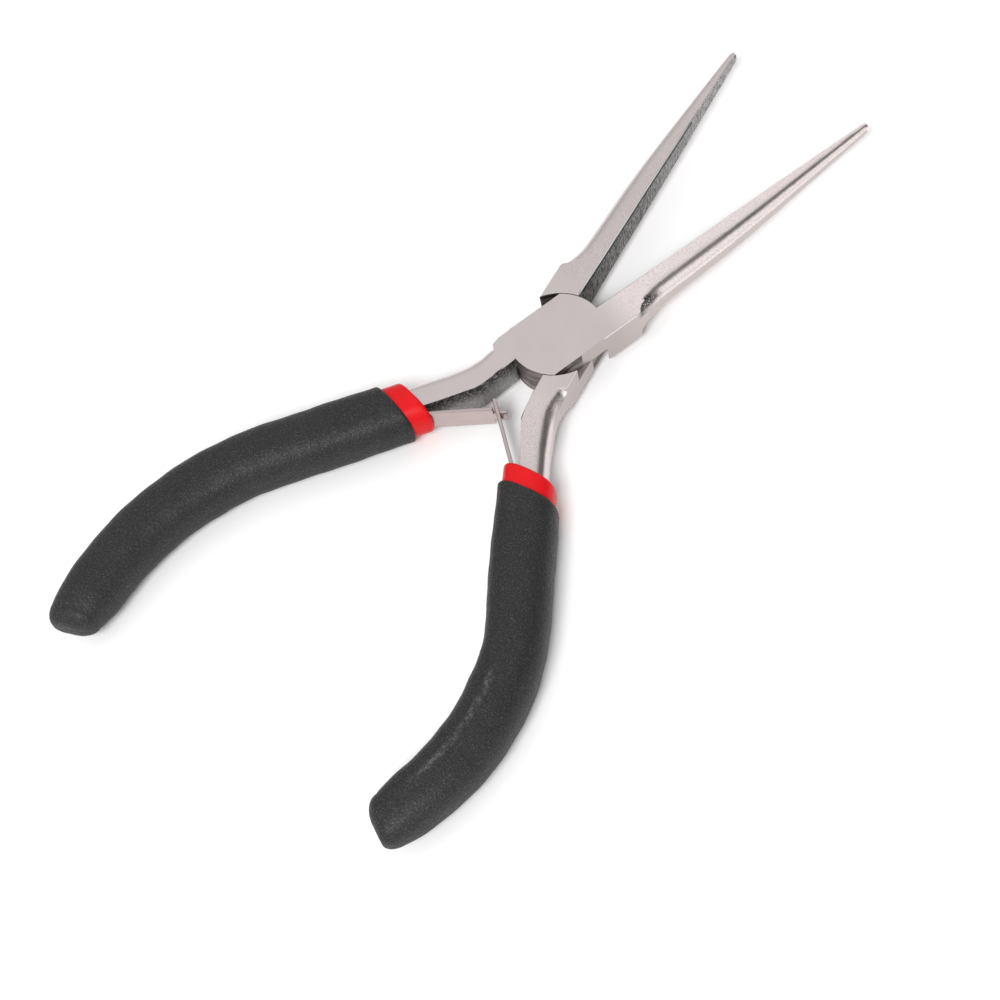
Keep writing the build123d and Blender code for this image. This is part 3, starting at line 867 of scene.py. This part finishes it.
    def base_colour(self):
        """Colour of the whole lever."""
        base = self.mix_colour(self.inner, self.ground_faces(), self.inner_faces())
        # recess walls near the pivot: turned streaks, darkened as painted shade between the levers
        turned = self.mix_colour(self.ramp(self.noises["streaks"], 0.40, 0.60), *TURNED_WALL_AND_SHADE)
        base = self.mix_colour(self.recess, base, turned)
        rough = self.mix_colour(self.ramp(self.noises["speckle"], 0.50, 0.66), *RUN_OUT)
        base = self.mix_colour(self.times(self.scoop, RUN_OUT_STRENGTH[self.side]), base, rough)
        return self.with_edges(base)

    def roughness(self):
        """Roughness of the whole lever."""
        satin = self.between(self.noises["cloud"], 0.25, 0.33)
        satin = self.plus(satin, self.between(self.flat, 0.0, 0.10))
        rough = self.mix(self.inner, satin, 0.52)
        rough = self.mix(self.recess, rough, 0.45)
        return self.mix(self.scoop, rough, 0.40)

    def relief(self):
        """Normal with softened edges, brush marks along the lever, scale and pitted run-outs."""
        sign = 1 if self.side == "front" else -1
        brushed = self.noise(**BRUSHED, turn=(0, 0, radians(-HALF_OPENING * sign)))
        marks = self.plus(self.times(brushed, 0.35), self.times(self.noises["fine"], 0.5))
        dirt = self.plus(self.times(self.noises["scale"], 4.0), self.times(self.noises["hatch"], 2.0))
        pits = self.times(self.scoop, self.noises["speckle"], 5.0)
        height = self.plus(self.mix(self.inner, marks, dirt), pits)
        softened = self.add("ShaderNodeBevel", {"Radius": 0.12 * MM}, samples=4).outputs[0]
        return self.bump(height, 0.35, 0.02, softened)

    def made(self):
        """The finished material."""
        shades = dict(Base_Color=self.base_colour(), Roughness=self.roughness(), Normal=self.relief())
        return self.finish(Metallic=1.0, **shades)


def spring_steel(side):
    """Bright rolled strip with fine lines along it and painted shade on its bevelled corners."""
    t = LeverTree(f"{side}_spring_steel", side)
    lines = t.noise(1800, 3, 0.6, stretch=(0.08, 0.08, 1))
    base = t.mix_colour(t.noise(240, 3, 0.5), *STRIP)
    base = t.mix_colour(t.between(lines, 0.0, 0.35), base, STRIP_LINES)
    below_top, above_side = STRIP_CORNERS
    corner = t.times(t.ramp(t.flatness, *below_top), t.ramp(t.flatness, *above_side))
    # painted shade on the bevelled corners, darker on the rear strip
    base = t.mix_colour(t.times(corner, CORNER_SHADE[side]), base, STRIP_CORNER_SHADE)
    normal = t.bump(lines, 0.3, 0.015)
    return t.finish(Base_Color=base, Metallic=1.0, Roughness=t.between(lines, 0.22, 0.38), Normal=normal)


def rivet_steel():
    """Ground rivet ends with circular marks."""
    t = Tree("rivet_steel")
    rings = t.add(
        "ShaderNodeTexWave",
        {"Vector": t.coords.outputs["Object"], "Scale": 420.0, "Distortion": 1.5, "Detail": 3.0},
        wave_type="RINGS",
        rings_direction="Z",
    ).outputs[1]
    cloud = t.noise(300, 3, 0.6)
    base = t.mix_colour(cloud, *RIVET)
    normal = t.bump(rings, 0.25, 0.02)
    return t.finish(Base_Color=base, Metallic=1.0, Roughness=t.between(cloud, 0.24, 0.36), Normal=normal)


def red_plastic():
    """Smooth dipped plastic with a faint unevenness."""
    t = Tree("red_plastic")
    cloud = t.noise(220, 3, 0.5)
    base = t.mix_colour(cloud, *RED)
    soft = t.bump(cloud, 0.25, 0.25)
    normal = t.bump(t.noise(3500, 2, 0.5), 0.12, 0.03, soft)
    roughness = t.between(cloud, 0.30, 0.42)
    return t.finish(Base_Color=base, Roughness=roughness, Normal=normal, Specular_IOR_Level=0.15)


def crease_highlight(t):
    """Mask of the painted highlight: a broken pale line along the top of a grip's bend."""
    crease = CREASE[t.side]
    first, last = crease["first"], crease["last"]
    off = t.math("ABSOLUTE", t.minus(t.distance(*crease["centre"]), crease["radius"]))
    line = t.times(t.ramp(off, CREASE_HALF_WIDTH, 0.0), t.ramp(t.side_height, *CREASE_HEIGHT))
    starts = t.ramp(t.y, first, first - CREASE_FADES[0])
    ends = t.ramp(t.y, last, last + CREASE_FADES[1])
    broken = t.ramp(t.noise(1500, 4, 0.75), 0.44, 0.62)
    return t.times(line, starts, ends, t.between(broken, 0.1, 1.0))


def black_rubber(side):
    """Black dipped grip with a fine sandy grain; one grip has a painted highlight along the crease of its
    bend.
    """
    t = LeverTree(f"{side}_black_rubber", side)
    grain = t.noise(2300, 2, 0.6)
    coarse = t.noise(900, 2, 0.5)
    specks = t.ramp(t.noise(5600, 3, 0.7), 0.50, 0.68)
    base = t.mix_colour(t.noise(90, 3, 0.5), *BLACK)
    base = t.mix_colour(t.times(specks, 0.6), base, BLACK_SPECKS)
    # painted highlight along the crease
    if side in CREASE:
        base = t.mix_colour(t.times(crease_highlight(t), 0.55), base, BLACK_CREASE_HIGHLIGHT)
    normal = t.bump(t.plus(grain, t.times(coarse, 0.7)), 0.75, 0.14)
    roughness = t.minus(t.between(grain, 0.46, 0.66), t.times(specks, 0.16))
    return t.finish(Base_Color=base, Roughness=roughness, Normal=normal, Specular_IOR_Level=0.33)


def painted_floor():
    """Plain pale floor."""
    t = Tree("pale_floor")
    base = t.mix_colour(t.noise(30, 2, 0.5), *FLOOR)
    return t.finish(Base_Color=base, Roughness=0.9, Specular_IOR_Level=0.1)


def give(obj, material):
    """One material for the whole object."""
    obj.data.materials.clear()
    obj.data.materials.append(material)


# ======== Stage ========
FLOOR_REACH = 3.0       # metres from the middle
FLOOR_GAP = 0.0001
# Key light: azimuth counted from +Y towards +X, elevation, metres away, metres wide, power
KEY_LIGHT = (150, 52, 1.2, 0.45, 11.5)
# Brightness of the room by the X part of the direction: two soft walls with a dark gap overhead
ROOM = [
    (-1.0, 0.60),
    (-0.82, 0.76),
    (-0.6, 0.93),
    (-0.02, 0.95),
    (0.12, 0.10),
    (0.54, 0.08),
    (0.70, 1.06),
    (0.93, 1.02),
    (1.0, 0.72),
]
HORIZON_SHADE = 0.7     # how bright the room is at floor level, against above HORIZON_TOP
HORIZON_TOP = 0.2       # upward part of the direction


def floor_plane(height):
    """Square floor at a height."""
    corners = [(-1, -1), (1, -1), (1, 1), (-1, 1)]
    mesh = bpy.data.meshes.new("floor")
    points = [(x * FLOOR_REACH, y * FLOOR_REACH, 0) for x, y in corners]
    mesh.from_pydata(points, [], [(0, 1, 2, 3)])
    made = new_object("floor", mesh)
    made.location.z = height
    return made


def area_light(name, azimuth, elevation, distance, width, power):
    """Square soft light that looks at the pliers."""
    data = bpy.data.lights.new(name, "AREA")
    data.shape = "RECTANGLE"
    data.size = data.size_y = width
    data.energy = power
    lamp = new_object(name, data)
    a, e = radians(azimuth), radians(elevation)
    out = Vector((sin(a) * cos(e), cos(a) * cos(e), sin(e)))
    lamp.location = out * distance
    lamp.rotation_mode = "QUATERNION"
    lamp.rotation_quaternion = (-out).to_track_quat("-Z", "Y")


def studio():
    """Plain room of two pale walls with a dark gap between them."""
    world = bpy.data.worlds.new("studio")
    world.use_nodes = True
    nodes, links = world.node_tree.nodes, world.node_tree.links
    nodes.clear()
    coords = nodes.new("ShaderNodeTexCoord")
    split = nodes.new("ShaderNodeSeparateXYZ")
    links.new(coords.outputs["Generated"], split.inputs[0])
    share = nodes.new("ShaderNodeMapRange")
    share.inputs["From Min"].default_value = -1
    links.new(split.outputs["X"], share.inputs[0])
    ramp = nodes.new("ShaderNodeValToRGB")
    for _ in ROOM[2:]:
        ramp.color_ramp.elements.new(0.5)
    for element, (x, value) in zip(ramp.color_ramp.elements, ROOM):
        element.position = (x + 1) / 2
        element.color = colour(value, value, value)
    links.new(share.outputs[0], ramp.inputs[0])
    rise = nodes.new("ShaderNodeMapRange")
    rise.inputs["From Max"].default_value = HORIZON_TOP
    rise.inputs["To Min"].default_value = HORIZON_SHADE
    links.new(split.outputs["Z"], rise.inputs[0])
    background = nodes.new("ShaderNodeBackground")
    links.new(ramp.outputs[0], background.inputs["Color"])
    links.new(rise.outputs[0], background.inputs["Strength"])
    output = nodes.new("ShaderNodeOutputWorld")
    links.new(background.outputs[0], output.inputs[0])
    bpy.context.scene.world = world


def camera():
    """Camera at the photograph's viewing angle."""
    a, e, roll = radians(VIEW_AZIMUTH), radians(VIEW_ELEVATION), radians(VIEW_ROLL)
    back = Vector((sin(a) * cos(e), -cos(a) * cos(e), sin(e)))
    level = Vector((cos(a), sin(a), 0))
    rise = back.cross(level)
    right = level * cos(roll) - rise * sin(roll)
    up = level * sin(roll) + rise * cos(roll)
    data = bpy.data.cameras.new("camera")
    data.lens = LENS
    data.sensor_width = SENSOR_WIDTH
    data.clip_start, data.clip_end = CLIP
    made = new_object("camera", data)
    pivot = Vector((0, 0, MID_HEIGHT))
    place = (pivot + back * VIEW_DISTANCE - right * VIEW_SHIFT[0] - up * VIEW_SHIFT[1]) * MM
    turn = Matrix((right, up, back)).transposed().to_4x4()
    made.matrix_world = Matrix.Translation(place) @ turn
    bpy.context.scene.camera = made


# ======== Build ========
for side in ("front", "rear"):
    give(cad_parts[f"{side}_lever"], LeverSteel(side).made())
    give(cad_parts[f"{side}_spring_rivet"], rivet_steel())
give(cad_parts["pivot_rivet"], rivet_steel())

red = red_plastic()
for side in ("front", "rear"):
    give(leaf(side), spring_steel(side))
    give(collar(side), red)
    give(outer_grip(side), black_rubber(side))

low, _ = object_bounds()
floor = floor_plane(low.z - FLOOR_GAP)
give(floor, painted_floor())
area_light("key_light", *KEY_LIGHT)
studio()
camera()
bpy.context.scene.view_settings.view_transform = "Standard"
